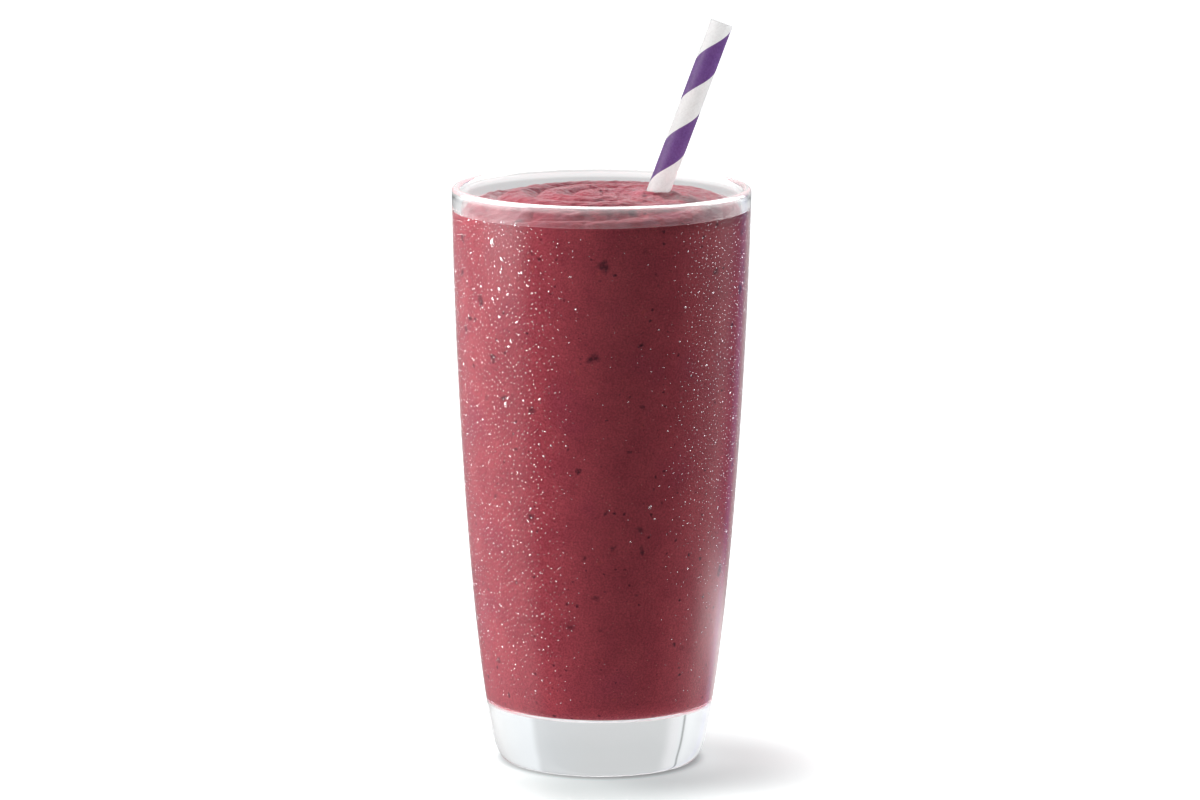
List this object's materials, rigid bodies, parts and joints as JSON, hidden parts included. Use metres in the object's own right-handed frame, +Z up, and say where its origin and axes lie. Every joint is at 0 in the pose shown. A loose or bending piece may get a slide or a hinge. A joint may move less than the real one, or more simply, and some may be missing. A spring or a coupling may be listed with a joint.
{
  "type": "berry smoothie in a glass",
  "caption": "Thick berry smoothie filling a tall tapered heavy-base tumbler, with a spiral-striped paper straw standing in it.",
  "frame": {"origin": "middle of the glass's foot, on the surface that it stands on", "axes": "+Z up the glass, -Y towards the viewer, +X towards the side that the straw leans to"},
  "size_m": [0.078, 0.078, 0.1952],
  "materials": {
    "glass": "clear fire-polished glass with cold condensation on its wall",
    "smoothie": "thick satin berry pulp with dark seed and skin flecks",
    "straw": "wound white paper with one broad purple spiral stripe"
  },
  "bodies": {
    "root": {"glass": "glass", "smoothie": "smoothie", "straw": "straw"}
  },
  "joints": []
}
